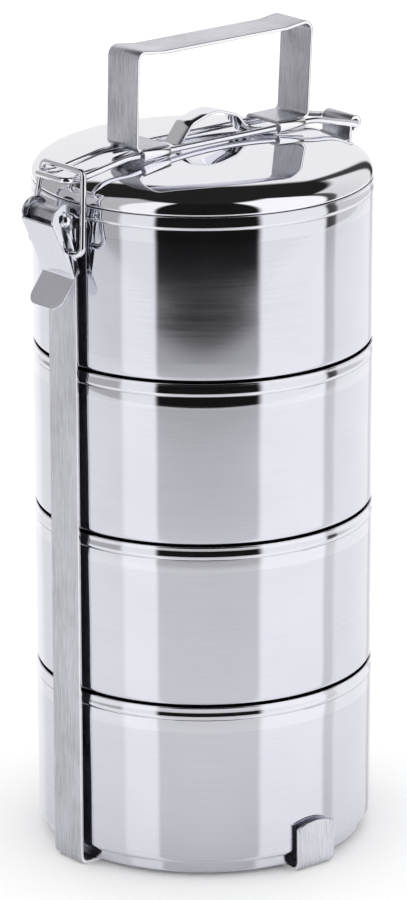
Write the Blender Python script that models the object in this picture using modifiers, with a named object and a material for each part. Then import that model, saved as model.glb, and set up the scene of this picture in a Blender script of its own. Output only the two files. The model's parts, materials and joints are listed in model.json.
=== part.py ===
"""Four-tier tiffin carrier: stacked steel containers held in a strap frame by a hinged wire bow and a toggle latch.

Metres, +Z up. X runs from the latch (-X) to the bow's hinge (+X), and Y along the cross strap.
The origin is on the stack's axis, at the underside of the strap that carries it.
"""

import math

import bmesh
import bpy
from mathutils import Vector

MM = 0.001

# Driving dimensions, in millimetres
GAP = 0.3                  # clearance kept between pieces that touch
WALL_R = 70.0              # outer radius of every container
SHEET = 0.8                # container and lid sheet
PITCH = 69.0               # rim to rim
TIERS = 4
FOOT_R, FOOT_H = 66.8, 4.8  # stepped foot that nests in the rim below
FOOT_WIDTH = 3.6
BASE_RISE = 3.0            # the base is dished up inside its foot
CORNER_R = 2.5             # wall to step
RIM_SEAT = 0.35            # how far the step sits below the rim that carries it
BAND_PROUD, BAND_H, BAND_FADE = 0.4, 5.3, 12.0
TURNED_STEPS, PIN_STEPS = 40, 20

STRAP_T = 1.5
STRAP_W = 17.6
CROSS_W = 19.5
ARM_IN = 72.1              # inner face of the upright arms
CLIP_IN = 71.4             # inner face of the cross strap's clips
CLIP_TOP = 21.0
JOGGLE_FLAT, JOGGLE_RUN = 10.4, 4.0
JOGGLE_BEND, STRAP_BEND, KNUCKLE_BEND = 2.0, 3.2, 3.6
TIP_RISE = 3.0             # height of a clip's rounded tip

SEAM = STRAP_T + GAP + FOOT_H + PITCH * TIERS - RIM_SEAT  # rim of the top container

DOME_H, SHOULDER_H, SHOULDER_R = 13.8, 10.0, 59.5
PLUG_R, PLUG_H = 68.4, 5.0

WIRE_R = 1.35
BOW_Y = 8.4                # half the spacing of the bow's two runs
BOW_HINGE_Y, BOW_END_Y = 10.6, 10.3  # the runs spread at the hinge and at the latch end
BOW_Z = SEAM + 15.4        # the level stretch that carries the handle
BOW_LEVEL = (-46.0, 53.0)
BOW_NECK_X, BOW_NECK_Z = -69.6, SEAM + 11.3  # where the bail crosses the runs
HINGE_X, HINGE_Z = 75.35, SEAM + 10.4
BOW_END_X, BOW_END_Z = -78.9, SEAM + 11.9
BOW_CORNER, BOW_NECK, BOW_SWEEP, BOW_EYE = 3.0, 9.0, 30.0, 2.0  # bend radii: end, neck, slopes, hinge
HINGE_BORE = 1.75
HINGE_ROLL_END = -112      # degrees, where the hinge roll stops short of the arm

HANDLE_W, HANDLE_T = 19.0, 1.4
HANDLE_FOOT_X = (-42.2, 49.4)   # outer faces of the uprights at their feet
HANDLE_TOP_X = (-41.2, 51.6)
HANDLE_TOP_Z = SEAM + 58.9
GRIP_DIP, GRIP_RUN = 1.7, 13.0
HANDLE_CORNER, HANDLE_BEND = 3.6, 2.6
FOOT_PLATE = 17.0
FOOT_CURL_END = -35        # degrees, where a foot's curl ends below the wire

ARCH_W, ARCH_T = 10.0, 1.0
ARCH_X = 3.0               # the lift strap sits under the handle's middle
ARCH_LENGTH, ARCH_H, ARCH_FOOT = 38.0, 12.2, 7.0
ARCH_FOOT_DROP = 0.35      # the feet follow the dome down

PIN_X, PIN_Z = -79.3, SEAM - 4.0    # lever pivot, P0
PIN_R, PIN_HEAD_R = 1.75, 2.2
PIN_HEAD_Y = 12.9
KNUCKLE_BORE = 2.1
KNUCKLE_ROLL_END = 325     # degrees, where the knuckle's roll stops short of the arm
LEVER_T = 1.0
EAR_IN = STRAP_W / 2 + 0.35
EAR_R = 6.3
EAR_TAIL = ((-4.2, -6.0), (-5.6, -11.5), (-5.8, -17.0), (-7.2, -23.0), (-4.6, -24.6))  # outward is +x
WEB_TOP, WEB_FOLD, TAB_END = (-6.2, -1.4), (4.75, -25.4), (-4.1, -37.1)                # outward is -x
WEB_BEND = 2.0
TAB_TIP = ((0.55, 1.0), (0.8, 0.93), (0.93, 0.82), (1.0, 0.66))                        # along the tab, width left
BAIL_PIVOT = (3.0, -14.0)           # inward and up from the lever pivot
BAIL_TOP = (7.3, 19.0)
BAIL_WIRE_R, BAIL_HOLE_PLAY = 1.3, 0.4
BAIL_TOP_Y, BAIL_FOOT_Y, BAIL_END_Y = 12.9, 17.2, 8.4


def clear_scene():
    for item in list(bpy.data.objects):
        bpy.data.objects.remove(item, do_unlink=True)


def make_collection(name):
    made = bpy.data.collections.new(name)
    bpy.context.scene.collection.children.link(made)
    return made


clear_scene()
PART = make_collection("tiffin_carrier")
CUTTERS = make_collection("cutters")


def steel(name, colour, roughness):
    """A stainless steel finish."""
    made = bpy.data.materials.new(name)
    made.use_nodes = True
    shader = made.node_tree.nodes["Principled BSDF"]
    shader.inputs["Base Color"].default_value = (*colour, 1.0)
    shader.inputs["Metallic"].default_value = 1.0
    shader.inputs["Roughness"].default_value = roughness
    return made


WALL_STEEL = steel("wall_steel", (0.78, 0.78, 0.79), 0.22)
LID_STEEL = steel("lid_steel", (0.86, 0.86, 0.88), 0.08)
STRAP_STEEL = steel("strap_steel", (0.62, 0.62, 0.64), 0.34)
WIRE_STEEL = steel("wire_steel", (0.84, 0.84, 0.86), 0.12)
LATCH_STEEL = steel("latch_steel", (0.74, 0.74, 0.76), 0.26)


def axis_empty(name, place):
    """An empty on a joint's axis, which the moving pieces hang from."""
    made = bpy.data.objects.new(name, None)
    made.location = Vector(place) * MM
    PART.objects.link(made)
    return made


def hang(piece, parent):
    """Parents a piece to an empty and keeps it where it is."""
    piece.location -= parent.location
    piece.parent = parent


def add_object(name, mesh, material, collection=None):
    made = bpy.data.objects.new(name, mesh)
    (collection or PART).objects.link(made)
    if material:
        mesh.materials.append(material)
    return made


def arc(centre, radius, start, end, count):
    """Points along an arc, angles in degrees, both ends included."""
    angles = [math.radians(start + (end - start) * i / count) for i in range(count + 1)]
    return [(centre[0] + radius * math.cos(a), centre[1] + radius * math.sin(a)) for a in angles]


def rounded(corners, radii, count=6):
    """A path through corners, in two or three dimensions, with each inner corner rounded."""
    pts = [Vector(c) for c in corners]
    path = [pts[0]]
    for before, here, after, radius in zip(pts, pts[1:], pts[2:], radii):
        a, b = (before - here).normalized(), (after - here).normalized()
        half = a.angle(b) / 2
        reach = radius / math.tan(half)
        centre = here + (a + b).normalized() * radius / math.sin(half)
        first, last = here + a * reach - centre, here + b * reach - centre
        turn = first.angle(last)
        for i in range(count + 1):
            t = i / count
            spoke = first * math.sin((1 - t) * turn) + last * math.sin(t * turn)
            path.append(centre + spoke / math.sin(turn))
    path.append(pts[-1])
    return path


def turned(name, profile, material, place=(0.0, 0.0, 0.0)):
    """A solid of revolution from a profile of (radius, height) that runs from axis to axis, top to bottom outside."""
    mesh = bpy.data.meshes.new(name)
    verts = [(r * MM, 0.0, z * MM) for r, z in profile]
    mesh.from_pydata(verts, [(i, i + 1) for i in range(len(verts) - 1)], [])
    made = add_object(name, mesh, material)
    made.location = Vector(place) * MM
    screw = made.modifiers.new("turn", "SCREW")
    screw.axis = "Z"
    screw.steps = screw.render_steps = TURNED_STEPS
    screw.use_merge_vertices = True
    screw.merge_threshold = 0.00001
    screw.use_smooth_shade = True
    return made


def ribbon(name, path, half_widths, thickness, material, across="Y"):
    """A bent strap: a path in the plane square to its width, thickened about its middle."""
    mesh = bpy.data.meshes.new(name)
    verts = []
    for (u, z), half in zip(path, half_widths):
        for side in (-half, half):
            place = (u, side, z) if across == "Y" else (side, u, z)
            verts.append(Vector(place) * MM)
    faces = [(2 * i, 2 * i + 1, 2 * i + 3, 2 * i + 2) for i in range(len(path) - 1)]
    mesh.from_pydata(verts, [], faces)
    made = add_object(name, mesh, material)
    solid = made.modifiers.new("sheet", "SOLIDIFY")
    solid.thickness = thickness * MM
    solid.offset = 0.0
    solid.use_even_offset = True
    return made


def wire(name, path, radius, material, closed=False, sides_resolution=2):
    """A round wire along a path of 3-D points."""
    curve = bpy.data.curves.new(name, "CURVE")
    curve.dimensions = "3D"
    curve.bevel_depth = radius * MM
    curve.bevel_resolution = sides_resolution
    curve.use_fill_caps = not closed
    spline = curve.splines.new("POLY")
    spline.points.add(len(path) - 1)
    for point, place in zip(spline.points, path):
        point.co = (*(Vector(place) * MM), 1.0)
    spline.use_cyclic_u = closed
    curve.materials.append(material)
    made = bpy.data.objects.new(name, curve)
    PART.objects.link(made)
    return made


def plate(name, outline, thickness, y_middle, material, collection=None):
    """A flat plate in the XZ plane."""
    mesh = bpy.data.meshes.new(name)
    work = bmesh.new()
    low = (y_middle - thickness / 2) * MM
    face = work.faces.new([work.verts.new((x * MM, low, z * MM)) for x, z in outline])
    grown = bmesh.ops.extrude_face_region(work, geom=[face])
    moved = [v for v in grown["geom"] if isinstance(v, bmesh.types.BMVert)]
    bmesh.ops.translate(work, verts=moved, vec=(0.0, thickness * MM, 0.0))
    bmesh.ops.recalc_face_normals(work, faces=work.faces)
    work.to_mesh(mesh)
    work.free()
    return add_object(name, mesh, material, collection)


def rod(name, place, radius, length, collection, sides=20):
    """A cylinder along Y, for cutting holes."""
    mesh = bpy.data.meshes.new(name)
    work = bmesh.new()
    bmesh.ops.create_cone(work, cap_ends=True, segments=sides,
                          radius1=radius * MM, radius2=radius * MM, depth=length * MM)
    work.to_mesh(mesh)
    work.free()
    made = add_object(name, mesh, None, collection)
    made.rotation_euler = (math.radians(90), 0.0, 0.0)
    made.location = Vector(place) * MM
    return made


def guide(piece):
    """Marks a piece as a cutter or a guide, which isn't part of the object."""
    piece.hide_render = True
    piece.display_type = "WIRE"
    for owner in list(piece.users_collection):
        owner.objects.unlink(piece)
    CUTTERS.objects.link(piece)


def combine(piece, other, operation):
    """Joins or cuts a piece with another."""
    step = piece.modifiers.new(operation.lower(), "BOOLEAN")
    step.operation = operation
    step.solver = "EXACT"
    step.object = other
    guide(other)


def container_profile():
    """One container's sheet, from the inner floor over the rim and down the outer side to the base."""
    inner_r = WALL_R - SHEET
    rim = PITCH - RIM_SEAT
    base = -FOOT_H
    inside = [(0.0, base + BASE_RISE + SHEET),
              (FOOT_R - FOOT_WIDTH - 1.6, base + BASE_RISE + SHEET),
              (FOOT_R - FOOT_WIDTH, base + SHEET),
              (FOOT_R - SHEET, base + SHEET),
              (FOOT_R - SHEET, SHEET)]
    inside += arc((WALL_R - CORNER_R, CORNER_R), CORNER_R - SHEET, -90, 0, 3)
    top = [(inner_r, rim), (WALL_R, rim)]
    bands = [(WALL_R + BAND_PROUD, rim - 1.2),
             (WALL_R + BAND_PROUD, rim - BAND_H + 1.2),
             (WALL_R, rim - BAND_H),
             (WALL_R + BAND_PROUD * 0.8, rim - BAND_H - 1.8),
             (WALL_R, rim - BAND_FADE)]
    corner = arc((WALL_R - CORNER_R, CORNER_R), CORNER_R, 0, -90, 3)
    outside = [(FOOT_R, 0.0), (FOOT_R, base),
               (FOOT_R - FOOT_WIDTH, base),
               (FOOT_R - FOOT_WIDTH - 2.4, base + BASE_RISE),
               (0.0, base + BASE_RISE)]
    return inside + top + bands + corner + outside


def build_containers():
    """Four alike containers, numbered from the bottom, each with a lift axis of its own."""
    first = STRAP_T + GAP + FOOT_H
    for tier in range(TIERS):
        name = "container_%d" % (tier + 1)
        place = (0.0, 0.0, first + tier * PITCH)
        lift = axis_empty(name + "_lift", place)
        hang(turned(name, container_profile(), WALL_STEEL, place), lift)


def lid_profile():
    """The lid's sheet: a plug inside the rim, a convex shoulder and a shallow dome."""
    dome_r = (SHOULDER_R ** 2 + (DOME_H - SHOULDER_H) ** 2) / (2 * (DOME_H - SHOULDER_H))
    turns = [SHOULDER_R * f for f in (0.0, 0.33, 0.66, 1.0)]
    outer = [(r, DOME_H - dome_r + math.sqrt(dome_r ** 2 - r ** 2)) for r in turns]
    outer += [(64.6, 8.1), (68.2, 5.0), (69.8, 2.0), (WALL_R, GAP)]
    inner = [(r, z - SHEET) for r, z in outer[:5]] + [(67.4, 4.2), (PLUG_R - SHEET, 2.4)]
    rim = [(PLUG_R, GAP), (PLUG_R, -PLUG_H), (PLUG_R - SHEET, -PLUG_H)]
    return outer + rim + inner[::-1]


def build_lid():
    """The lid and its lift strap, on one lift axis."""
    lift = axis_empty("lid_lift", (0.0, 0.0, SEAM))
    hang(turned("lid", lid_profile(), LID_STEEL, (0.0, 0.0, SEAM)), lift)
    half, middle = ARCH_LENGTH / 2, ARCH_T / 2
    low = SEAM + DOME_H + GAP + middle
    high = low + ARCH_H - ARCH_T
    foot = low - ARCH_FOOT_DROP
    leg, leg_top, crown = half - 7.0, high - 2.6, high + 1.4
    corners = [(-half - ARCH_FOOT, foot), (-half, low), (-leg, leg_top), (0.0, crown),
               (leg, leg_top), (half, low), (half + ARCH_FOOT, foot)]
    path = rounded(corners, (1.5, 6.0, 18.0, 6.0, 1.5))
    strap = ribbon("lid_lift_strap", path, [ARCH_W / 2] * len(path), ARCH_T, LID_STEEL)
    strap.location.x = ARCH_X * MM
    hang(strap, lift)


def build_frame():
    """The main strap, rolled at both ends, and the cross strap with its two clips."""
    middle = STRAP_T / 2
    arm = ARM_IN + middle
    low = middle
    knuckle = KNUCKLE_BORE + middle
    hinge = HINGE_BORE + middle
    latch_top = PIN_Z + knuckle
    corners = [(PIN_X, latch_top), (-arm, latch_top), (-arm, low), (arm, low), (arm, HINGE_Z)]
    body = rounded(corners, (KNUCKLE_BEND, STRAP_BEND, STRAP_BEND), 5)
    roll_in = arc((PIN_X, PIN_Z), knuckle, KNUCKLE_ROLL_END, 90, 12)[:-1]
    roll_out = arc((HINGE_X, HINGE_Z), hinge, 180, HINGE_ROLL_END, 13)[1:]
    path = roll_in + [tuple(p) for p in body] + roll_out
    ribbon("main_strap", path, [STRAP_W / 2] * len(path), STRAP_T, STRAP_STEEL)

    clip = CLIP_IN + middle
    raised = STRAP_T + GAP + middle
    outer = JOGGLE_FLAT + JOGGLE_RUN
    half_width = CROSS_W / 2
    steps = (0.0, 0.35, 0.65, 0.85, 1.0)
    tip = [(clip, CLIP_TOP - TIP_RISE * (1 - f)) for f in steps]
    tip_half = [half_width * math.sqrt(1 - (0.94 * f) ** 2) for f in steps]
    corners = [(0.0, raised), (JOGGLE_FLAT, raised), (outer, low), (clip, low), (clip, CLIP_TOP - TIP_RISE)]
    bends = (JOGGLE_BEND, JOGGLE_BEND, STRAP_BEND)
    right = [tuple(p) for p in rounded(corners, bends, 4)][1:-1] + tip
    right_half = [half_width] * (len(right) - len(tip)) + tip_half
    path = [(-y, z) for y, z in right[::-1]] + right
    ribbon("cross_strap", path, right_half[::-1] + right_half, STRAP_T, STRAP_STEEL, across="X")


def bow_path():
    """The bow's wire, from the latch end along one run, through the hinge and back."""
    lo, hi = BOW_LEVEL
    near = [(BOW_END_X, -BOW_END_Y, BOW_END_Z), (BOW_NECK_X, -BOW_Y, BOW_NECK_Z),
            (lo, -BOW_Y, BOW_Z), (hi, -BOW_Y, BOW_Z), (HINGE_X, -BOW_HINGE_Y, HINGE_Z)]
    far = [(x, -y, z) for x, y, z in reversed(near)]
    start = (BOW_END_X, 0.0, BOW_END_Z)
    bends = (BOW_CORNER, BOW_NECK, BOW_SWEEP, BOW_SWEEP, BOW_EYE)
    path = rounded([start, *near, *far, start], bends + bends[::-1], 5)
    return path[:-1]


def build_bow():
    """The wire bow and the strap handle gripped on it, on the hinge axis."""
    hinge = axis_empty("bow_hinge", (HINGE_X, 0.0, HINGE_Z))
    bow = wire("bow_wire", bow_path(), WIRE_R, WIRE_STEEL, closed=True)
    middle = HANDLE_T / 2
    curl = WIRE_R + GAP + middle
    plate_z = BOW_Z + curl
    top = HANDLE_TOP_Z - middle
    (foot_l, foot_r), (top_l, top_r) = HANDLE_FOOT_X, HANDLE_TOP_X
    corners = [(foot_l + middle + 6.0, plate_z), (foot_l + middle, plate_z), (top_l + middle, top),
               (top_l + middle + GRIP_RUN, top - GRIP_DIP), (top_r - middle - GRIP_RUN, top - GRIP_DIP),
               (top_r - middle, top), (foot_r - middle, plate_z), (foot_r - middle - 6.0, plate_z)]
    radii = (HANDLE_BEND, HANDLE_CORNER, 12.0, 12.0, HANDLE_CORNER, HANDLE_BEND)
    path = rounded(corners, radii, 4)
    handle = ribbon("handle_strap", path, [HANDLE_W / 2] * len(path), HANDLE_T, STRAP_STEEL)
    for side, start in (("latch", foot_l + HANDLE_BEND + 0.4), ("hinge", foot_r - FOOT_PLATE)):
        combine(handle, foot_ribbon("handle_foot_" + side, start, curl, plate_z), "UNION")
    for piece in (bow, handle):
        hang(piece, hinge)


def foot_ribbon(name, start_x, curl, plate_z):
    """A foot plate whose two side edges curl down round the bow's runs, made across X."""
    over = arc((BOW_Y, BOW_Z), curl, 90, FOOT_CURL_END, 7)
    path = [(-y, z) for y, z in over[::-1]] + over
    length = FOOT_PLATE - HANDLE_BEND - 0.4
    made = ribbon(name, path, [length / 2] * len(path), HANDLE_T, STRAP_STEEL, across="X")
    made.location.x = (start_x + length / 2) * MM
    return made


def lever_outline():
    """One ear of the lever: a round head on the pin, narrowing to the fold."""
    head = arc((0.0, 0.0), EAR_R, -12, 205, 16)
    return [(PIN_X - x, PIN_Z + z) for x, z in head + list(EAR_TAIL)]


def build_latch():
    """The pin, the channel lever with its finger tab, and the wire bail."""
    pivot = axis_empty("latch_pivot", (PIN_X, 0.0, PIN_Z))
    shank, head = PIN_R, PIN_HEAD_R
    ear_out = EAR_IN + LEVER_T
    profile = [(0.0, PIN_HEAD_Y), (head * 0.7, PIN_HEAD_Y - 0.3), (head, PIN_HEAD_Y - 1.1),
               (head, ear_out + GAP), (shank, ear_out + GAP)]
    profile += [(r, -y) for r, y in reversed(profile)]
    pin = turned("latch_pin", profile, WIRE_STEEL, (PIN_X, 0.0, PIN_Z))
    pin.modifiers["turn"].steps = pin.modifiers["turn"].render_steps = PIN_STEPS
    pin.rotation_euler = (math.radians(90), 0.0, 0.0)

    web = [(PIN_X + x, PIN_Z + z) for x, z in (WEB_TOP, WEB_FOLD, TAB_END)]
    path = [tuple(p) for p in rounded(web, (WEB_BEND,), 5)]
    tab = [tuple(Vector(path[-2]).lerp(Vector(path[-1]), f)) for f, narrow in TAB_TIP]
    path = path[:-1] + tab
    halves = [ear_out] * (len(path) - len(tab)) + [ear_out * narrow for f, narrow in TAB_TIP]
    lever = ribbon("latch_lever", path, halves, LEVER_T, LATCH_STEEL)
    for side in (-1, 1):
        ear = plate("lever_ear_%s" % ("front" if side < 0 else "back"), lever_outline(), LEVER_T,
                    side * (EAR_IN + LEVER_T / 2), LATCH_STEEL)
        combine(lever, ear, "UNION")
    for name, (x, z), radius in (("pin_hole", (PIN_X, PIN_Z), PIN_R + GAP),
                                 ("bail_hole", bail_pivot(), BAIL_WIRE_R + BAIL_HOLE_PLAY)):
        combine(lever, rod(name, (x, 0.0, z), radius, 2 * ear_out + 4.0, CUTTERS), "DIFFERENCE")
    hang(lever, pivot)

    bail_axis = axis_empty("bail_pivot", (bail_pivot()[0], 0.0, bail_pivot()[1]))
    foot, top = bail_pivot(), (PIN_X + BAIL_TOP[0], PIN_Z + BAIL_TOP[1])
    half = [(foot[0], -BAIL_END_Y, foot[1]), (foot[0], -BAIL_FOOT_Y, foot[1]), (top[0], -BAIL_TOP_Y, top[1])]
    mirrored = [(x, -y, z) for x, y, z in reversed(half)]
    path = rounded([*half, *mirrored], (3.6, 2.6, 2.6, 3.6), 6)
    bail = wire("latch_bail", path, BAIL_WIRE_R, WIRE_STEEL)
    hang(bail, bail_axis)
    hang(bail_axis, pivot)


def bail_pivot():
    return PIN_X + BAIL_PIVOT[0], PIN_Z + BAIL_PIVOT[1]


build_containers()
build_lid()
build_frame()
build_bow()
build_latch()
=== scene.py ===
"""Looks of the four-tier tiffin carrier: fine steel pieces, their finishes, and a plain studio.

Metres, +Z up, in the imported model's frame. Dimensions are in millimetres, and MM turns them into metres.
"""
import json
import math

import bmesh
import bpy
from mathutils import Matrix, Vector


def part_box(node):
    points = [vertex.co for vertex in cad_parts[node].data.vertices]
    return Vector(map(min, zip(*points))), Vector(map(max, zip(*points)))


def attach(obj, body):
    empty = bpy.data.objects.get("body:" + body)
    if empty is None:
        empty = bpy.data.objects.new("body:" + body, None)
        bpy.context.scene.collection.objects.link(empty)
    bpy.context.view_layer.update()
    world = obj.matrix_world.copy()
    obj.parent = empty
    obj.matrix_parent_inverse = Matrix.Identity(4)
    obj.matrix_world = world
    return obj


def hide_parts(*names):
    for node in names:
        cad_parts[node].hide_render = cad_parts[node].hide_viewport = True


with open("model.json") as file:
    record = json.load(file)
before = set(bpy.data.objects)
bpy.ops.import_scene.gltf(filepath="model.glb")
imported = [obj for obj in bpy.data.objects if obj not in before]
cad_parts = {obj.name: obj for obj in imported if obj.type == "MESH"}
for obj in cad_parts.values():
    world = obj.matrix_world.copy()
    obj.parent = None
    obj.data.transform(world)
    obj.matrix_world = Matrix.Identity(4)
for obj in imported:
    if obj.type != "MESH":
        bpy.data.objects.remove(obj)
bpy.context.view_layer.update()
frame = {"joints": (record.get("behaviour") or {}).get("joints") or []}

MM = 0.001
JOINTS = {joint["name"]: joint for joint in frame["joints"]}


def joint_place(name):
    """A hinge's x and z, in millimetres."""
    x, _, z = JOINTS[name]["pos_m"]
    return x / MM, z / MM


def span(node, axis):
    """A node's lowest and highest coordinate along an axis, in millimetres."""
    low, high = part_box(node)
    return low[axis] / MM, high[axis] / MM


# Driving dimensions, in millimetres: places come from the frame, sheet and wire sizes are those of the part
X, Y, Z = 0, 1, 2
TIERS = 4
SHEET = 0.8
GAP = 0.3
BAND_PROUD, BAND_H = 0.4, 5.3              # the bead under the rim
BAND_TOP = 0.5                             # how far below the rim the bead starts
BEAD_SKEW = 2.4                            # puts the bead's crown near its lower edge
GROOVE = 0.12                              # under the bead
SWELL_GAP = 0.25                           # between the bead and the wall's swell
SWELL_PROUD, SWELL_RISE, SWELL_FALL = 0.24, 5.2, 34.0
POLISH_H = 10.8                            # how far below its rim a container is mirror polished
STRAIGHT_H = 6.0                           # the wall's straight run above its lower corner
FOOT_H, FOOT_WIDTH, FOOT_STEP, BASE_RISE = 4.8, 3.6, 3.2, 3.0
SEAM = span("container_4", Z)[1]
FLOORS = [span("container_%d" % (tier + 1), Z)[0] + FOOT_H for tier in range(TIERS)]
RIM = SEAM - FLOORS[-1]                    # height of a container's rim above its step
WALL_R = span("container_4", X)[1] - BAND_PROUD
FOOT_R = WALL_R - FOOT_STEP
CORNER_R = 2.5

DOME_H, DOME_R = 13.8, 467.0
SHOULDER_IN, SHOULDER_DROP, SHOULDER_POWER = 52.0, 8.25, 2.6
PLUG_R, PLUG_H = 68.4, 5.0
PLUG_BEVEL = 0.3
PLUG_LEAN = (2.4, 4.2)                     # heights between which the plug leans in to meet the dome
LID_LIP = 0.8                              # rounding of the lid's lower edge
LID_SEAM = 4.0                             # the dome's underside ends this far inside the wall

ARCH_X, ARCH_HALF, ARCH_RUN = 3.0, 19.0, 7.0       # middle, half span, and length of each foot and slope
ARCH_W, ARCH_T, ARCH_H = 10.0, 1.0, 12.2
ARCH_SEAT, ARCH_FOOT_FALL = 0.05, 0.35
ARCH_SHOULDER, ARCH_CROWN = 2.6, 1.4       # its upper bends lie below its height, its middle above it
ARCH_BENDS = (1.5, 6.0, 18.0, 6.0, 1.5)

STRAP_T = 1.5
STRAP_W = span("main_strap", Y)[1] * 2
CROSS_W = span("cross_strap", X)[1] * 2
ARM_PLAY = 2.1                             # between the containers and the upright arms
ARM = WALL_R + ARM_PLAY + STRAP_T / 2      # middle of the upright arms
KNUCKLE_R, KNUCKLE_START = 2.1, 325        # the pin's roll: inner radius, and free end in degrees
HINGE_R, HINGE_END = 1.75, -112            # the same for the roll on the bow's wire
STRAP_BENDS = (3.6, 3.2, 3.2)
CLIP = span("cross_strap", Y)[1] - STRAP_T / 2
CLIP_TOP = span("cross_strap", Z)[1]
CLIP_ARCH = 2.2                            # rise of a clip's arched end
JOGGLE = (10.4, 14.4)                      # where the cross strap steps down beside the main strap
CROSS_BENDS = (2.0, 2.0, 3.2)

HINGE_X, HINGE_Z = joint_place("bow_hinge")
PIN_X, PIN_Z = joint_place("latch_lever")
BAIL_X, BAIL_Z = joint_place("latch_bail")

WIRE_R = 1.35
BOW_Y, BOW_HINGE_Y, BOW_END_Y = 8.4, 10.6, 10.3
BOW_Z = SEAM + 15.4
BOW_LEVEL = (-46.0, 53.0)
BOW_NECK_X, BOW_NECK_Z = -69.6, SEAM + 11.3
BOW_END_X, BOW_END_Z = -78.9, SEAM + 11.9
BOW_BENDS = (3.0, 9.0, 30.0, 30.0, 2.0)    # at the end, the neck, both slopes and the hinge

SIDE_FACING = 0.55                         # a face this square to an axis is a strap's edge
HANDLE_T = 1.4
HANDLE_W = 19.0
HANDLE_FOOT_X = (-42.2, 49.4)
HANDLE_TOP_X = (-41.2, 51.6)
HANDLE_TOP_Z = SEAM + 58.9
HANDLE_DIP, HANDLE_RUN = 1.7, 13.0         # the grip's sag, and how far from its ends it is reached
HANDLE_BENDS = (2.6, 3.6, 12.0)            # at a foot, at a top corner, and where the grip starts to sag
FOOT_PLATE, FOOT_TOE = 17.0, 6.0
CURL_PLAY, CURL_END = 0.08, -75            # between wire and curl, and the curl's end in degrees

LEVER_T = 1.0
EAR_PLAY = 0.35
EAR_IN = STRAP_W / 2 + EAR_PLAY
EAR_R = 6.3
EAR_HEAD = (-12, 205)                      # the round head's ends, in degrees; outward is +x
EAR_TAIL = [(-4.2, -6.0), (-5.6, -11.5), (-5.8, -17.0), (-7.2, -23.0), (-4.6, -24.6)]
EAR_BENDS = (2.0, 5.0, 5.0, 1.2)
WEB_TOP, WEB_FOLD, TAB_END = (-6.2, -1.4), (4.75, -25.4), (-4.1, -37.1)      # from the pin; outward is -x
WEB_BEND = 2.0
TAB_STRAIGHT, TAB_TIP = 0.66, 0.34         # shares of the tab's length before and in its round end
TAB_CORNER, TAB_TAPER = 4.2, 0.4
TAB_STEPS = 10
BAIL_WIRE_R = 1.3
BAIL_TOP = (7.3, 19.0)                     # the bail's top bar, from the pin
BAIL_TOP_Y, BAIL_FOOT_Y, BAIL_END_Y = 12.9, 17.2, 8.4
BAIL_BENDS = (3.6, 2.6, 2.6, 3.6)
PIN_R, PIN_HEAD_R, PIN_HEAD_Y = 1.75, 2.2, 12.9
PIN_PLAY, BAIL_PLAY = 0.15, 0.2            # in the lever's holes
WASHER_R, WASHER_T, WASHER_SEAT = 2.75, 0.7, 0.05

SHARP_ANGLE = 32.0                         # degrees; faces that meet more sharply keep a crease

CAMERA_AZIMUTH, CAMERA_ELEVATION = -39.55, 17.6    # degrees
CAMERA_DISTANCE, CAMERA_LENS = 2.264, 218.2        # metres, millimetres
CAMERA_SENSOR, CAMERA_REACH = 36.0, 20.0           # millimetres, metres
CAMERA_ROLL = -0.19
AIM = (0.00013, 0.0, 0.1636)


# Shapes ---------------------------------------------------------------------------------------------

def as_pairs(points):
    """Vectors in the plane as plain pairs."""
    return [tuple(point) for point in points]


def arc(centre, radius, start, end, count):
    """Points along an arc, angles in degrees, both ends included."""
    angles = [math.radians(start + (end - start) * i / count) for i in range(count + 1)]
    return [(centre[0] + radius * math.cos(a), centre[1] + radius * math.sin(a)) for a in angles]


def rounded(corners, radii, count=12):
    """A path through corners, in two or three dimensions, with each inner corner rounded."""
    pts = [Vector(c) for c in corners]
    path = [pts[0]]
    for before, here, after, radius in zip(pts, pts[1:], pts[2:], radii):
        a, b = (before - here).normalized(), (after - here).normalized()
        half = a.angle(b) / 2
        reach = radius / math.tan(half)
        centre = here + (a + b).normalized() * radius / math.sin(half)
        first, last = here + a * reach - centre, here + b * reach - centre
        turn = first.angle(last)
        for i in range(count + 1):
            t = i / count
            spoke = first * math.sin((1 - t) * turn) + last * math.sin(t * turn)
            path.append(centre + spoke / math.sin(turn))
    path.append(pts[-1])
    return path


def shade(mesh):
    """Smooth shading, with creases left where the mesh turns sharply."""
    mesh.shade_smooth()
    mesh.set_sharp_from_angle(angle=math.radians(SHARP_ANGLE))


def finish_mesh(name, mesh, material):
    """A smooth-shaded object from a mesh."""
    shade(mesh)
    made = bpy.data.objects.new(name, mesh)
    bpy.context.scene.collection.objects.link(made)
    made.data.materials.append(material)
    return made


def skin(name, rings, closed_path, material):
    """A surface through rings of points in millimetres, its first and last capped unless the path closes."""
    mesh = bpy.data.meshes.new(name)
    work = bmesh.new()
    made = [[work.verts.new(Vector(p) * MM) for p in ring] for ring in rings]
    pairs = list(zip(made, made[1:] + made[:1])) if closed_path else list(zip(made, made[1:]))
    for one, two in pairs:
        for i in range(len(one)):
            j = (i + 1) % len(one)
            work.faces.new((one[i], one[j], two[j], two[i]))
    if not closed_path:
        work.faces.new(made[0])
        work.faces.new(made[-1])
    bmesh.ops.recalc_face_normals(work, faces=work.faces)
    work.to_mesh(mesh)
    work.free()
    return finish_mesh(name, mesh, material)


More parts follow.
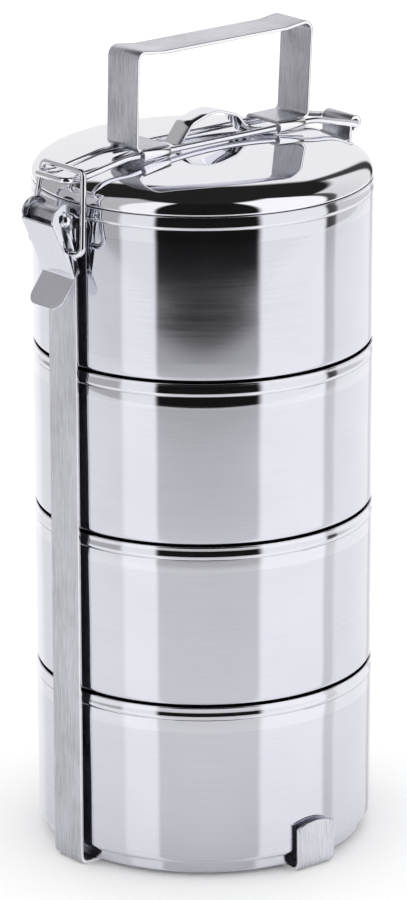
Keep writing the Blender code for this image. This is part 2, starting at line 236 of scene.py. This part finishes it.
def turned(name, profile, material, height=0.0, steps=224):
    """A solid of revolution about Z, from a profile of (radius, height) that starts and ends on the axis."""
    mesh = bpy.data.meshes.new(name)
    work = bmesh.new()
    rings = []
    turns = [2 * math.pi * i / steps for i in range(steps)]
    for radius, z in profile:
        level = (z + height) * MM
        if radius == 0.0:
            rings.append([work.verts.new((0.0, 0.0, level))])
            continue
        ring = [(radius * math.cos(a) * MM, radius * math.sin(a) * MM, level) for a in turns]
        rings.append([work.verts.new(spot) for spot in ring])
    for one, two in zip(rings, rings[1:]):
        for i in range(steps):
            j = (i + 1) % steps
            quad = [one[i % len(one)], one[j % len(one)], two[j % len(two)], two[i % len(two)]]
            corners = list(dict.fromkeys(quad))
            if len(corners) > 2:
                work.faces.new(corners)
    bmesh.ops.recalc_face_normals(work, faces=work.faces)
    work.to_mesh(mesh)
    work.free()
    return finish_mesh(name, mesh, material)


def section(half, deep, edge, steps, lift=0.0):
    """A strap's rounded cross-section: points (across, through, rise), with lift the rise at its middle."""
    corner = [(half - edge, deep - edge, 0), (-half + edge, deep - edge, 90),
              (-half + edge, -deep + edge, 180), (half - edge, -deep + edge, 270)]
    points = []
    for index, (u, w, start) in enumerate(corner):
        points += arc((u, w), edge, start, start + 90, 3)
        if index in (0, 2):
            along = 1 if index == 2 else -1
            full = (half - edge) * along
            points += [(-full + 2 * full * k / steps, points[-1][1]) for k in range(1, steps)]
    return [(u, w, lift * (1 - (u / half) ** 2)) for u, w in points]


def strap(name, path, half_widths, thickness, material, across="Y", edge=0.35, crowns=(0.0, 0.0), steps=2):
    """A bent strap: a rounded section carried along a path, with softened and perhaps arched ends."""
    pts = [Vector(p[:2]) for p in path]
    if len(half_widths) == 1:
        half_widths = list(half_widths) * len(pts)
    rings = []
    turns = [math.radians(a) for a in (90, 45, 0)]
    soften = [(edge * (1 - math.sin(a)), edge * (1 - math.cos(a))) for a in turns]
    last = len(pts) - 1
    for i, (point, half) in enumerate(zip(pts, half_widths)):
        back = (point - pts[i - 1]).normalized() if i else (pts[1] - point).normalized()
        ahead = (pts[i + 1] - point).normalized() if i < last else back
        tangent = (back + ahead).normalized()
        miter = 1 / max(0.5, tangent.dot(back))
        normal = Vector((-tangent.y, tangent.x))
        stages = [(0.0, 0.0, 0.0, 0.0)]
        if i == 0:
            stages = [(pull, inset, -1, crowns[0]) for pull, inset in soften]
        elif i == last:
            stages = [(pull, inset, 1, crowns[1]) for pull, inset in soften[::-1]]
        for pull, inset, way, crown in stages:
            ring = []
            corner = max(edge - inset, 0.02)
            for u, w, lift in section(half - inset, thickness / 2 - inset, corner, steps, crown):
                spot = point + normal * w * miter - tangent * way * pull + tangent * way * lift
                ring.append((spot.x, u, spot.y) if across == "Y" else (u, spot.x, spot.y))
            rings.append(ring)
    return skin(name, rings, False, material)


def bright_sides(piece, axis):
    """Gives the narrow faces across an axis the strap's polished edge."""
    piece.data.materials.append(STEEL["edge"])
    for face in piece.data.polygons:
        if abs(face.normal[axis]) > SIDE_FACING:
            face.material_index = 1


def tube(name, path, radius, material, up, closed=False, sides=20):
    """A round wire along points in millimetres, with domed ends if open; it never runs along up."""
    pts = [Vector(p) for p in path]
    up = Vector(up)
    count = len(pts)
    turns = [2 * math.pi * k / sides for k in range(sides)]
    slopes = [math.radians(a) for a in (0, 30, 60, 82)]
    rings = []
    for i, point in enumerate(pts):
        before = pts[i - 1] if closed or i else None
        after = pts[(i + 1) % count] if closed or i < count - 1 else None
        tangent = ((after or point) - (before or point)).normalized()
        side = tangent.cross(up).normalized()
        over = side.cross(tangent)
        stages = [(0.0, 1.0)]
        if not closed and i in (0, count - 1):
            way = -1 if i == 0 else 1
            dome = [(way * radius * 0.5 * math.sin(a), math.cos(a)) for a in slopes]
            stages = dome[::-1] if i == 0 else dome
        for push, shrink in stages:
            centre = point + tangent * push
            spokes = [(side * math.cos(a) + over * math.sin(a)) * radius * shrink for a in turns]
            rings.append([centre + spoke for spoke in spokes])
    return skin(name, rings, closed, material)


def plate(name, outline, thickness, y_middle, material):
    """A flat plate in the XZ plane."""
    rings = [[(x, y_middle + side * thickness / 2, z) for x, z in outline] for side in (-1, 1)]
    return skin(name, rings, False, material)


def rod(name, x, z, radius, half_length):
    """A cutter: a cylinder along Y."""
    ring = arc((x, z), radius, 0, 360, 40)[:-1]
    ends = [[(u, y, v) for u, v in ring] for y in (-half_length, half_length)]
    return skin(name, ends, False, STEEL["latch"])


def applied(piece):
    """Turns a piece's modifiers into its mesh, which becomes the piece's own."""
    graph = bpy.context.evaluated_depsgraph_get()
    mesh = bpy.data.meshes.new_from_object(piece.evaluated_get(graph))
    piece.modifiers.clear()
    piece.data = mesh


def combine(piece, other, operation):
    """Joins or cuts a piece with another, which is used up."""
    step = piece.modifiers.new(operation.lower(), "BOOLEAN")
    step.operation = operation
    step.solver = "EXACT"
    step.object = other
    applied(piece)
    bpy.data.objects.remove(other, do_unlink=True)


def soften_edges(piece, width, angle=38.0):
    """Rounds a piece's sharp edges."""
    step = piece.modifiers.new("edges", "BEVEL")
    step.width = width * MM
    step.segments = 2
    step.limit_method = "ANGLE"
    step.angle_limit = math.radians(angle)
    step.use_clamp_overlap = True
    applied(piece)
    shade(piece.data)


def matrix_shift(x):
    """A move along X, from millimetres."""
    return Matrix.Translation((x * MM, 0.0, 0.0))


def place(piece, body, slot, *nodes):
    """A fine piece rides on its body and stands for its CAD nodes."""
    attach(piece, body)
    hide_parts(*nodes)


# Finishes -------------------------------------------------------------------------------------------

NOISE_LOW, NOISE_HIGH, NOISE_ROUGH = 0.3, 0.7, 0.55
STAIN_SCALE, STAIN_DETAIL = 28.0, 4.0
ROUGH_LOW, ROUGH_HIGH = 0.75, 1.3          # shares of a steel's roughness
BRUSH_TURN = 0.25                          # a quarter turn of the stretched highlights


def chain(tree, kind, **values):
    """A shader node with its settings, and its inputs given by name with _ for a space."""
    node = tree.nodes.new(kind)
    for key, value in values.items():
        label = key.replace("_", " ")
        if label in node.inputs:
            node.inputs[label].default_value = value
        else:
            setattr(node, key, value)
    return node


def noise(tree, stretch, scale, detail=3.0):
    """Noise in object space, in cells of 1 / (scale * stretch) metres along each axis."""
    coords = chain(tree, "ShaderNodeTexCoord")
    mapping = chain(tree, "ShaderNodeMapping", Scale=stretch)
    made = chain(tree, "ShaderNodeTexNoise", Scale=scale, Detail=detail, Roughness=NOISE_ROUGH)
    tree.links.new(coords.outputs["Object"], mapping.inputs["Vector"])
    tree.links.new(mapping.outputs["Vector"], made.inputs["Vector"])
    return made.outputs["Fac"]


def spread(tree, value, low, high):
    """Maps a noise value to a range."""
    made = chain(tree, "ShaderNodeMapRange", clamp=True)
    limits = (("From Min", NOISE_LOW), ("From Max", NOISE_HIGH), ("To Min", low), ("To Max", high))
    for label, number in limits:
        made.inputs[label].default_value = number
    tree.links.new(value, made.inputs["Value"])
    return made.outputs["Result"]


def tint(tree, value, dark, light):
    """A colour between two, by a noise value."""
    ramp = chain(tree, "ShaderNodeValToRGB")
    ends = ((NOISE_LOW, dark), (NOISE_HIGH, light))
    for element, (position, colour) in zip(ramp.color_ramp.elements, ends):
        element.position = position
        element.color = (*colour, 1.0)
    tree.links.new(value, ramp.inputs["Fac"])
    return ramp.outputs["Color"]


def steel(name, colour, roughness, brush, fine, depth, contrast, anisotropic=0.0):
    """Stainless steel: brushed lines stretched along a direction, slow stains, and roughness that follows."""
    made = bpy.data.materials.new(name)
    made.use_nodes = True
    tree = made.node_tree
    shader = tree.nodes["Principled BSDF"]
    shader.inputs["Metallic"].default_value = 1.0
    lines = noise(tree, brush, fine)
    stains = noise(tree, EVEN, STAIN_SCALE, STAIN_DETAIL)
    mix = chain(tree, "ShaderNodeMath", operation="ADD")
    half = chain(tree, "ShaderNodeMath", operation="MULTIPLY")
    half.inputs[1].default_value = 0.5
    tree.links.new(lines, mix.inputs[0])
    tree.links.new(stains, mix.inputs[1])
    tree.links.new(mix.outputs[0], half.inputs[0])
    dark = tuple(c * (1 - contrast) for c in colour)
    light = tuple(min(1.0, c * (1 + contrast)) for c in colour)
    rough = spread(tree, half.outputs[0], roughness * ROUGH_LOW, roughness * ROUGH_HIGH)
    tree.links.new(tint(tree, half.outputs[0], dark, light), shader.inputs["Base Color"])
    tree.links.new(rough, shader.inputs["Roughness"])
    bump = chain(tree, "ShaderNodeBump", Strength=1.0, Distance=depth)
    tree.links.new(lines, bump.inputs["Height"])
    tree.links.new(bump.outputs["Normal"], shader.inputs["Normal"])
    if anisotropic:
        shader.inputs["Anisotropic"].default_value = anisotropic
        shader.inputs["Anisotropic Rotation"].default_value = BRUSH_TURN
        tangent = chain(tree, "ShaderNodeTangent", direction_type="RADIAL", axis="Z")
        tree.links.new(tangent.outputs["Tangent"], shader.inputs["Tangent"])
    return made


ALONG_X_Z = (0.05, 1.0, 0.05)      # lines that run in the XZ plane, fine across Y
ALONG_Y_Z = (1.0, 0.05, 0.05)
ROUND = (0.02, 0.02, 1.0)          # lines that run round the axis
EVEN = (1.0, 1.0, 1.0)
# Each steel's name, colour, roughness, brushing, noise scale, brushing depth in metres and contrast
STEEL = {
    "wall": steel("wall_steel", (0.72, 0.72, 0.79), 0.065, ROUND, 1500.0, 0.0000006, 0.05, 0.5),
    "band": steel("band_steel", (0.78, 0.78, 0.84), 0.05, ROUND, 900.0, 0.0000002, 0.02),
    "lid": steel("lid_steel", (0.92, 0.92, 0.97), 0.035, EVEN, 400.0, 0.0000001, 0.015),
    "frame": steel("frame_steel", (0.56, 0.56, 0.61), 0.30, ALONG_X_Z, 2000.0, 0.00002, 0.35),
    "handle": steel("handle_steel", (0.66, 0.66, 0.72), 0.30, ALONG_X_Z, 2000.0, 0.00002, 0.40),
    "cross": steel("cross_steel", (0.66, 0.66, 0.72), 0.28, ALONG_Y_Z, 2000.0, 0.00002, 0.35),
    "edge": steel("edge_steel", (0.93, 0.93, 0.96), 0.10, EVEN, 900.0, 0.0000005, 0.03),
    "wire": steel("wire_steel", (0.88, 0.88, 0.93), 0.07, EVEN, 900.0, 0.0000003, 0.03),
    "latch": steel("latch_steel", (0.76, 0.76, 0.83), 0.11, ALONG_X_Z, 1800.0, 0.000001, 0.08),
}


# Containers and lid ---------------------------------------------------------------------------------

def bulge(top, bottom, proud, count, skew):
    """A convex band on the wall, from its top to its bottom; a skew over 1 puts its crown near the bottom."""
    points = []
    for i in range(count + 1):
        t = i / count
        points.append((WALL_R + proud * math.sin(math.pi * t ** skew), top + (bottom - top) * t))
    return points


def swell(top, rise, fall, proud, count=10):
    """Below the bead the wall swells out quickly, then eases back to its straight run."""
    turns = [math.pi / 2 * i / count for i in range(count + 1)]
    out = [(WALL_R + proud * math.sin(a), top - rise * a * 2 / math.pi) for a in turns]
    back = [(WALL_R + proud * math.cos(a) ** 2, top - rise - fall * a * 2 / math.pi) for a in turns[1:]]
    return out + back


def container_profile():
    """One container's sheet, from the inner floor over the rim and down the outer side to the base."""
    inner_r = WALL_R - SHEET
    base = -FOOT_H
    under = base + BASE_RISE
    floor = base + BASE_RISE + SHEET
    lip = SHEET / 2
    foot_in = FOOT_R - FOOT_WIDTH
    panel = [(0.0, floor), (foot_in * 0.5, floor), (foot_in - 3.0, floor)]
    step = rounded([(foot_in - 2.2, floor), (foot_in - 0.9, floor), (foot_in + 0.5, base + SHEET),
                    (FOOT_R - SHEET, base + SHEET), (FOOT_R - SHEET, SHEET), (inner_r, SHEET),
                    (inner_r, 5.0)], (0.8, 0.8, 0.7, 0.5, 1.6), 5)
    top = [(inner_r, RIM - BAND_H)] + arc((WALL_R - lip, RIM - lip), lip, 180, 0, 10)[:-1]
    bead = bulge(RIM - BAND_TOP, RIM - BAND_H, BAND_PROUD, 14, BEAD_SKEW)
    groove = [(WALL_R - GROOVE, RIM - BAND_H - GROOVE)]
    wall = swell(RIM - BAND_H - SWELL_GAP, SWELL_RISE, SWELL_FALL, SWELL_PROUD)
    wall += [(WALL_R, CORNER_R + STRAIGHT_H)]
    corner = arc((WALL_R - CORNER_R, CORNER_R), CORNER_R, 0, -90, 10)
    foot = rounded([(WALL_R - CORNER_R - 0.1, 0.0), (FOOT_R, 0.0), (FOOT_R, base), (foot_in, base),
                    (foot_in - 2.4, under), (foot_in - 6.0, under)], (0.25, 1.1, 0.8, 0.8), 5)[1:]
    middle = [(foot_in * 0.5, under), (0.0, under)]
    return panel + as_pairs(step) + top + bead + groove + wall + corner + as_pairs(foot) + middle


def build_containers():
    """Four alike containers; the bands under each rim and the rim itself are mirror polished."""
    for tier, floor in enumerate(FLOORS):
        name = "container_%d" % (tier + 1)
        piece = turned(name + "_fine", container_profile(), STEEL["wall"], floor)
        piece.data.materials.append(STEEL["band"])
        polished = (floor + RIM - POLISH_H) * MM
        for face in piece.data.polygons:
            if face.center.z > polished and math.hypot(face.center.x, face.center.y) > (WALL_R - 1.0) * MM:
                face.material_index = 1
        place(piece, name, "wall_steel", name)


def lid_height(radius):
    """The lid's outer surface above its rim: a shallow dome that rolls over into the rim."""
    dome = DOME_H - radius ** 2 / (2 * DOME_R)
    u = max(0.0, (radius - SHOULDER_IN) / (WALL_R - SHOULDER_IN))
    return dome - SHOULDER_DROP * (1 - max(0.0, 1 - u ** SHOULDER_POWER) ** (1 / SHOULDER_POWER))


def build_lid():
    """The domed lid, and the arched strap welded on top."""
    middle = [SHOULDER_IN * i / 12 for i in range(12)]
    roll = [SHOULDER_IN + (WALL_R - SHOULDER_IN) * math.sin(math.radians(90 * i / 40)) for i in range(40)]
    outer = [(r, lid_height(r)) for r in middle + roll if lid_height(r) > GAP + LID_LIP + 0.1]
    outer += arc((WALL_R - LID_LIP, GAP + LID_LIP), LID_LIP, 0, -90, 8)
    under = [(r, z - SHEET) for r, z in outer if r < WALL_R - LID_SEAM]
    inner = PLUG_R - SHEET
    end, lean = -PLUG_H + PLUG_BEVEL, PLUG_LEAN
    plug = [(PLUG_R, GAP), (PLUG_R, 0.0), (PLUG_R, end), (PLUG_R - 0.4, -PLUG_H), (inner, end),
            (inner, lean[0]), (inner - 0.6, lean[1])]
    lid = turned("lid_fine", outer + plug + under[::-1], STEEL["lid"], SEAM, 256)
    place(lid, "lid", "lid_steel", "lid")

    low = SEAM + DOME_H + ARCH_SEAT + ARCH_T / 2
    high = low + ARCH_H - ARCH_T
    right = [(ARCH_HALF - ARCH_RUN, high - ARCH_SHOULDER), (ARCH_HALF, low),
             (ARCH_HALF + ARCH_RUN, low - ARCH_FOOT_FALL)]
    left = [(-x, z) for x, z in right[::-1]]
    path = rounded(left + [(0.0, high + ARCH_CROWN)] + right, ARCH_BENDS, 10)
    arch = strap("lid_lift_strap_fine", path, [ARCH_W / 2], ARCH_T, STEEL["lid"], edge=0.25)
    arch.data.transform(matrix_shift(ARCH_X))
    place(arch, "lid", "lid_steel", "lid_lift_strap")


# Strap frame ----------------------------------------------------------------------------------------

def build_frame():
    """The main strap, rolled round the latch pin and the bow's wire, and the cross strap with two clips."""
    middle = STRAP_T / 2
    knuckle = KNUCKLE_R + middle
    hinge = HINGE_R + middle
    over = PIN_Z + knuckle
    roll_in = arc((PIN_X, PIN_Z), knuckle, KNUCKLE_START, 90, 30)[:-1]
    corners = [(PIN_X, over), (-ARM, over), (-ARM, middle), (ARM, middle), (ARM, HINGE_Z)]
    body = as_pairs(rounded(corners, STRAP_BENDS, 12))
    roll_out = arc((HINGE_X, HINGE_Z), hinge, 180, HINGE_END, 30)[1:]
    main = strap("main_strap_fine", roll_in + body + roll_out, [STRAP_W / 2], STRAP_T, STEEL["frame"])
    bright_sides(main, Y)
    place(main, "frame", "strap_steel", "main_strap")

    raised = STRAP_T + GAP + middle
    corners = [(0.0, raised), (JOGGLE[0], raised), (JOGGLE[1], middle), (CLIP, middle),
               (CLIP, CLIP_TOP - CLIP_ARCH)]
    side = as_pairs(rounded(corners, CROSS_BENDS, 10))[1:]
    path = [(-y, z) for y, z in side[::-1]] + side
    cross = strap("cross_strap_fine", path, [CROSS_W / 2], STRAP_T, STEEL["cross"], across="X",
                  crowns=(CLIP_ARCH, CLIP_ARCH), steps=16)
    bright_sides(cross, X)
    place(cross, "frame", "strap_steel", "cross_strap")


# Bow and handle -------------------------------------------------------------------------------------

def build_bow():
    """The closed wire bow, and the strap handle whose feet curl round its two runs."""
    lo, hi = BOW_LEVEL
    near = [(BOW_END_X, -BOW_END_Y, BOW_END_Z), (BOW_NECK_X, -BOW_Y, BOW_NECK_Z),
            (lo, -BOW_Y, BOW_Z), (hi, -BOW_Y, BOW_Z), (HINGE_X, -BOW_HINGE_Y, HINGE_Z)]
    far = [(x, -y, z) for x, y, z in reversed(near)]
    start = (BOW_END_X, 0.0, BOW_END_Z)
    path = rounded([start, *near, *far, start], BOW_BENDS + BOW_BENDS[::-1], 12)[:-1]
    bow = tube("bow_wire_fine", path, WIRE_R, STEEL["wire"], (0.0, 0.0, 1.0), closed=True)
    place(bow, "bow", "wire_steel", "bow_wire")

    middle = HANDLE_T / 2
    curl = WIRE_R + CURL_PLAY + middle
    plate_z = BOW_Z + curl
    top = HANDLE_TOP_Z - middle
    bend = HANDLE_BENDS[0]
    (foot_l, foot_r), (top_l, top_r) = HANDLE_FOOT_X, HANDLE_TOP_X
    left = [(foot_l + middle + FOOT_TOE, plate_z), (foot_l + middle, plate_z), (top_l + middle, top),
            (top_l + middle + HANDLE_RUN, top - HANDLE_DIP)]
    right = [(top_r - middle - HANDLE_RUN, top - HANDLE_DIP), (top_r - middle, top),
             (foot_r - middle, plate_z), (foot_r - middle - FOOT_TOE, plate_z)]
    path = rounded(left + right, HANDLE_BENDS + HANDLE_BENDS[::-1], 12)
    handle = strap("handle_strap_fine", path, [HANDLE_W / 2], HANDLE_T, STEEL["handle"], edge=0.4)
    over = arc((BOW_Y, BOW_Z), curl, 90, CURL_END, 20)
    across = [(-y, z) for y, z in over[::-1]] + over
    length = FOOT_PLATE - bend - 0.4
    for start in (foot_l + bend + 0.4, foot_r - FOOT_PLATE):
        foot = strap("handle_foot", across, [length / 2], HANDLE_T, STEEL["handle"], across="X", edge=0.35)
        foot.data.transform(matrix_shift(start + length / 2))
        combine(handle, foot, "UNION")
    shade(handle.data)
    bright_sides(handle, Y)
    place(handle, "bow", "strap_steel", "handle_strap")


# Latch ----------------------------------------------------------------------------------------------

def ear_outline():
    """One ear of the lever: a round head on the pin, narrowing to the fold."""
    head = arc((0.0, 0.0), EAR_R, *EAR_HEAD, 40)
    tail = rounded([head[-1], *EAR_TAIL], EAR_BENDS, 6)[1:]
    return [(PIN_X - x, PIN_Z + z) for x, z in head + as_pairs(tail)]


def build_lever():
    """The channel lever: a bent web with a finger tab, between two ears that hold the pin and the bail."""
    ear_out = EAR_IN + LEVER_T
    web = [(PIN_X + x, PIN_Z + z) for x, z in (WEB_TOP, WEB_FOLD, TAB_END)]
    path = as_pairs(rounded(web, (WEB_BEND,), 12))
    bend_end, tab_end = Vector(path[-2]), Vector(path[-1])
    sweeps = [math.radians(90 * i / TAB_STEPS) for i in range(TAB_STEPS + 1)]
    before_tip = [0.25, 0.5]
    shares = before_tip + [TAB_STRAIGHT + TAB_TIP * math.sin(sweep) for sweep in sweeps]
    tab = [tuple(bend_end.lerp(tab_end, share)) for share in shares]
    halves = [ear_out] * (len(path) - 1 + len(before_tip))
    halves += [ear_out - TAB_CORNER * (1 - math.cos(sweep)) - TAB_TAPER * math.sin(sweep) for sweep in sweeps]
    lever = strap("latch_lever_fine", path[:-1] + tab, halves, LEVER_T, STEEL["latch"], edge=0.3)
    for side in (-1, 1):
        ear = plate("ear", ear_outline(), LEVER_T, side * (EAR_IN + LEVER_T / 2), STEEL["latch"])
        combine(lever, ear, "UNION")
    holes = ((PIN_X, PIN_Z, PIN_R + PIN_PLAY), (BAIL_X, BAIL_Z, BAIL_WIRE_R + BAIL_PLAY))
    for x, z, radius in holes:
        combine(lever, rod("hole", x, z, radius, ear_out + 2.0), "DIFFERENCE")
    soften_edges(lever, 0.22)
    place(lever, "lever", "latch_steel", "latch_lever")


def build_pin():
    """The pin through the knuckle and the ears, with a rounded head and a washer at each end."""
    seat = EAR_IN + LEVER_T + WASHER_SEAT
    face = seat + WASHER_T
    end = [(0.0, PIN_HEAD_Y), (PIN_HEAD_R * 0.45, PIN_HEAD_Y - 0.1), (PIN_HEAD_R * 0.8, PIN_HEAD_Y - 0.5),
           (PIN_HEAD_R, PIN_HEAD_Y - 1.2), (PIN_HEAD_R, face + 0.5), (PIN_R, face + 0.3), (PIN_R, face),
           (WASHER_R - 0.2, face), (WASHER_R, face - 0.2), (WASHER_R, seat + 0.15), (WASHER_R - 0.15, seat),
           (PIN_R, seat)]
    profile = end + [(r, -y) for r, y in reversed(end)]
    pin = turned("latch_pin_fine", profile, STEEL["wire"], 0.0, 48)
    pin.data.transform(pin_matrix())
    place(pin, "frame", "wire_steel", "latch_pin")


def build_bail():
    """The wire bail, hooked through both ears and closed over the bow's end."""
    top_x, top_z = PIN_X + BAIL_TOP[0], PIN_Z + BAIL_TOP[1]
    half = [(BAIL_X, -BAIL_END_Y, BAIL_Z), (BAIL_X, -BAIL_FOOT_Y, BAIL_Z), (top_x, -BAIL_TOP_Y, top_z)]
    mirrored = [(x, -y, z) for x, y, z in reversed(half)]
    path = rounded([*half, *mirrored], BAIL_BENDS, 12)
    bail = tube("latch_bail_fine", path, BAIL_WIRE_R, STEEL["wire"], (1.0, 0.0, 0.0))
    place(bail, "bail", "wire_steel", "latch_bail")


def pin_matrix():
    """Lays a shape turned about Z along Y, at the lever's pin."""
    return Matrix.Translation((PIN_X * MM, 0.0, PIN_Z * MM)) @ Matrix.Rotation(math.radians(90), 4, "X")


# Studio ---------------------------------------------------------------------------------------------

DIM = 0.015                        # the ceiling, which comes lower at the back
PLAIN_STRENGTH = 1.25              # the white that the camera and diffuse light see
RISE = (38, 43)                    # elevations over which the front ring gives way to the upper one
SKY = (64, 70)                     # and the upper ring to the ceiling
# Greys round the studio, by degrees from the camera's side, positive to the right
FRONT_RING = [(-180, 0.88), (-150, 0.86), (-141, 0.42), (-96, 0.42), (-87, 0.5), (-58, 0.48), (-54, 0.95),
              (-33, 0.95), (-30, 0.008), (36, 0.008), (41, 1.0), (88, 1.0), (92, 0.06), (98, 0.1), (102, 0.7),
              (150, 0.8), (154, 0.05), (160, 0.05), (163, 0.88), (180, 0.88)]
UPPER_RING = [(-180, DIM), (-96, DIM), (-87, 0.5), (-58, 0.48), (-54, 0.95), (-33, 0.95), (-30, 0.008),
              (36, 0.008), (41, 1.0), (88, 1.0), (92, DIM), (180, DIM)]

FLOOR_SIZE = 12.0                  # metres
FLOOR_GREY, FLOOR_ROUGHNESS = 0.95, 0.9
# The floor that reflections see is a pale round patch, its middle behind the object. Pairs are metres from
# that middle and how far the floor has cleared; the scale is the last distance that counts.
PATCH_SHIFT = (-0.255, -0.308, 0.0)
PATCH_SCALE = 2.0
PATCH_CLEAR = [(0.0, 0.30), (0.60, 0.32), (0.84, 0.38), (0.95, 0.42), (1.02, 0.50), (1.09, 0.56),
               (1.215, 0.56), (1.235, 0.87), (1.26, 1.0), (2.0, 1.0)]


def ramp_node(tree, value, stops):
    """A grey ramp with soft steps."""
    made = chain(tree, "ShaderNodeValToRGB")
    ramp = made.color_ramp
    ramp.interpolation = "EASE"
    while len(ramp.elements) < len(stops):
        ramp.elements.new(0.5)
    for element, (position, grey) in zip(ramp.elements, stops):
        element.position = position
        element.color = (grey, grey, grey, 1.0)
    tree.links.new(value, made.inputs["Fac"])
    return made.outputs["Color"]


def compass(stops):
    """Ramp stops from (degrees from the front, grey), -180 to 180."""
    return [((angle + 180.0) / 360.0, grey) for angle, grey in stops]


def build_world():
    """White for the camera, and for reflections a studio: a dark front and ceiling, bright panels beside."""
    world = bpy.data.worlds.new("studio")
    bpy.context.scene.world = world
    world.use_nodes = True
    tree = world.node_tree
    tree.nodes.clear()
    coords = chain(tree, "ShaderNodeTexCoord")
    turn = chain(tree, "ShaderNodeMapping", vector_type="VECTOR",
                 Rotation=(0.0, 0.0, math.radians(90 - CAMERA_AZIMUTH)))
    parts = chain(tree, "ShaderNodeSeparateXYZ")
    tree.links.new(coords.outputs["Generated"], turn.inputs["Vector"])
    tree.links.new(turn.outputs["Vector"], parts.inputs["Vector"])
    azimuth = chain(tree, "ShaderNodeMath", operation="ARCTAN2")
    tree.links.new(parts.outputs["Y"], azimuth.inputs[0])
    tree.links.new(parts.outputs["X"], azimuth.inputs[1])
    around = chain(tree, "ShaderNodeMapRange")
    around.inputs["From Min"].default_value, around.inputs["From Max"].default_value = -math.pi, math.pi
    tree.links.new(azimuth.outputs[0], around.inputs["Value"])
    level = chain(tree, "ShaderNodeMapRange")
    level.inputs["From Min"].default_value, level.inputs["From Max"].default_value = -1.0, 1.0
    tree.links.new(parts.outputs["Z"], level.inputs["Value"])

    front = ramp_node(tree, around.outputs["Result"], compass(FRONT_RING))
    upper = ramp_node(tree, around.outputs["Result"], compass(UPPER_RING))
    rise = ramp_node(tree, level.outputs["Result"], step_stops(RISE))
    sky = ramp_node(tree, level.outputs["Result"], step_stops(SKY))
    lower = mix_grey(tree, rise, front, upper)
    glossy = chain(tree, "ShaderNodeMix", data_type="RGBA")
    tree.links.new(sky, glossy.inputs["Factor"])
    tree.links.new(lower, glossy.inputs["A"])
    glossy.inputs["B"].default_value = (DIM, DIM, DIM, 1.0)

    path = chain(tree, "ShaderNodeLightPath")
    reflected = chain(tree, "ShaderNodeBackground", Strength=1.0)
    plain = chain(tree, "ShaderNodeBackground", Color=(1.0, 1.0, 1.0, 1.0), Strength=PLAIN_STRENGTH)
    either = chain(tree, "ShaderNodeMixShader")
    output = chain(tree, "ShaderNodeOutputWorld")
    tree.links.new(glossy.outputs["Result"], reflected.inputs["Color"])
    tree.links.new(path.outputs["Is Glossy Ray"], either.inputs["Fac"])
    tree.links.new(plain.outputs[0], either.inputs[1])
    tree.links.new(reflected.outputs[0], either.inputs[2])
    tree.links.new(either.outputs[0], output.inputs["Surface"])


def mix_grey(tree, factor, one, two):
    """A colour that goes from one to two as the factor rises."""
    made = chain(tree, "ShaderNodeMix", data_type="RGBA")
    tree.links.new(factor, made.inputs["Factor"])
    tree.links.new(one, made.inputs["A"])
    tree.links.new(two, made.inputs["B"])
    return made.outputs["Result"]


def step_stops(elevations):
    """Ramp stops from 0 to 1 between two elevations, on a ramp of the direction's height."""
    return [((math.sin(math.radians(degrees)) + 1) / 2, end) for end, degrees in enumerate(elevations)]


def build_floor():
    """A plain pale floor. Reflections see part of it near the object, and lose it further out."""
    bpy.ops.mesh.primitive_plane_add(size=FLOOR_SIZE)
    floor = bpy.context.object
    floor.name = "studio_floor"
    made = bpy.data.materials.new("floor_paint")
    made.use_nodes = True
    tree = made.node_tree
    shader = tree.nodes["Principled BSDF"]
    shader.inputs["Base Color"].default_value = (FLOOR_GREY, FLOOR_GREY, FLOOR_GREY, 1.0)
    shader.inputs["Roughness"].default_value = FLOOR_ROUGHNESS
    output = tree.nodes["Material Output"]
    coords = chain(tree, "ShaderNodeTexCoord")
    shift = chain(tree, "ShaderNodeMapping", Location=PATCH_SHIFT)
    length = chain(tree, "ShaderNodeVectorMath", operation="LENGTH")
    tree.links.new(coords.outputs["Object"], shift.inputs["Vector"])
    tree.links.new(shift.outputs["Vector"], length.inputs[0])
    scaled = chain(tree, "ShaderNodeMath", operation="DIVIDE")
    scaled.inputs[1].default_value = PATCH_SCALE
    tree.links.new(length.outputs["Value"], scaled.inputs[0])
    reach = ramp_node(tree, scaled.outputs[0], [(at / PATCH_SCALE, clear) for at, clear in PATCH_CLEAR])
    path = chain(tree, "ShaderNodeLightPath")
    clear = chain(tree, "ShaderNodeMath", operation="MULTIPLY")
    tree.links.new(path.outputs["Is Glossy Ray"], clear.inputs[0])
    tree.links.new(reach, clear.inputs[1])
    through = chain(tree, "ShaderNodeBsdfTransparent")
    either = chain(tree, "ShaderNodeMixShader")
    tree.links.new(clear.outputs[0], either.inputs["Fac"])
    tree.links.new(shader.outputs[0], either.inputs[1])
    tree.links.new(through.outputs[0], either.inputs[2])
    tree.links.new(either.outputs[0], output.inputs["Surface"])
    floor.data.materials.append(made)


def build_camera():
    """The camera, by its direction and distance from a point on the object."""
    a, e = math.radians(CAMERA_AZIMUTH), math.radians(CAMERA_ELEVATION)
    away = Vector((math.cos(e) * math.sin(a), -math.cos(e) * math.cos(a), math.sin(e)))
    data = bpy.data.cameras.new("camera")
    data.lens = CAMERA_LENS
    data.sensor_width = CAMERA_SENSOR
    data.clip_end = CAMERA_REACH
    camera = bpy.data.objects.new("camera", data)
    bpy.context.scene.collection.objects.link(camera)
    camera.location = Vector(AIM) + away * CAMERA_DISTANCE
    look = (-away).to_track_quat("-Z", "Y").to_matrix().to_4x4()
    camera.rotation_euler = (look @ Matrix.Rotation(math.radians(CAMERA_ROLL), 4, "Z")).to_euler()
    bpy.context.scene.camera = camera


bpy.context.scene.view_settings.view_transform = "Standard"
build_camera()
build_world()
build_floor()
build_containers()
build_lid()
build_frame()
build_bow()
build_lever()
build_pin()
build_bail()
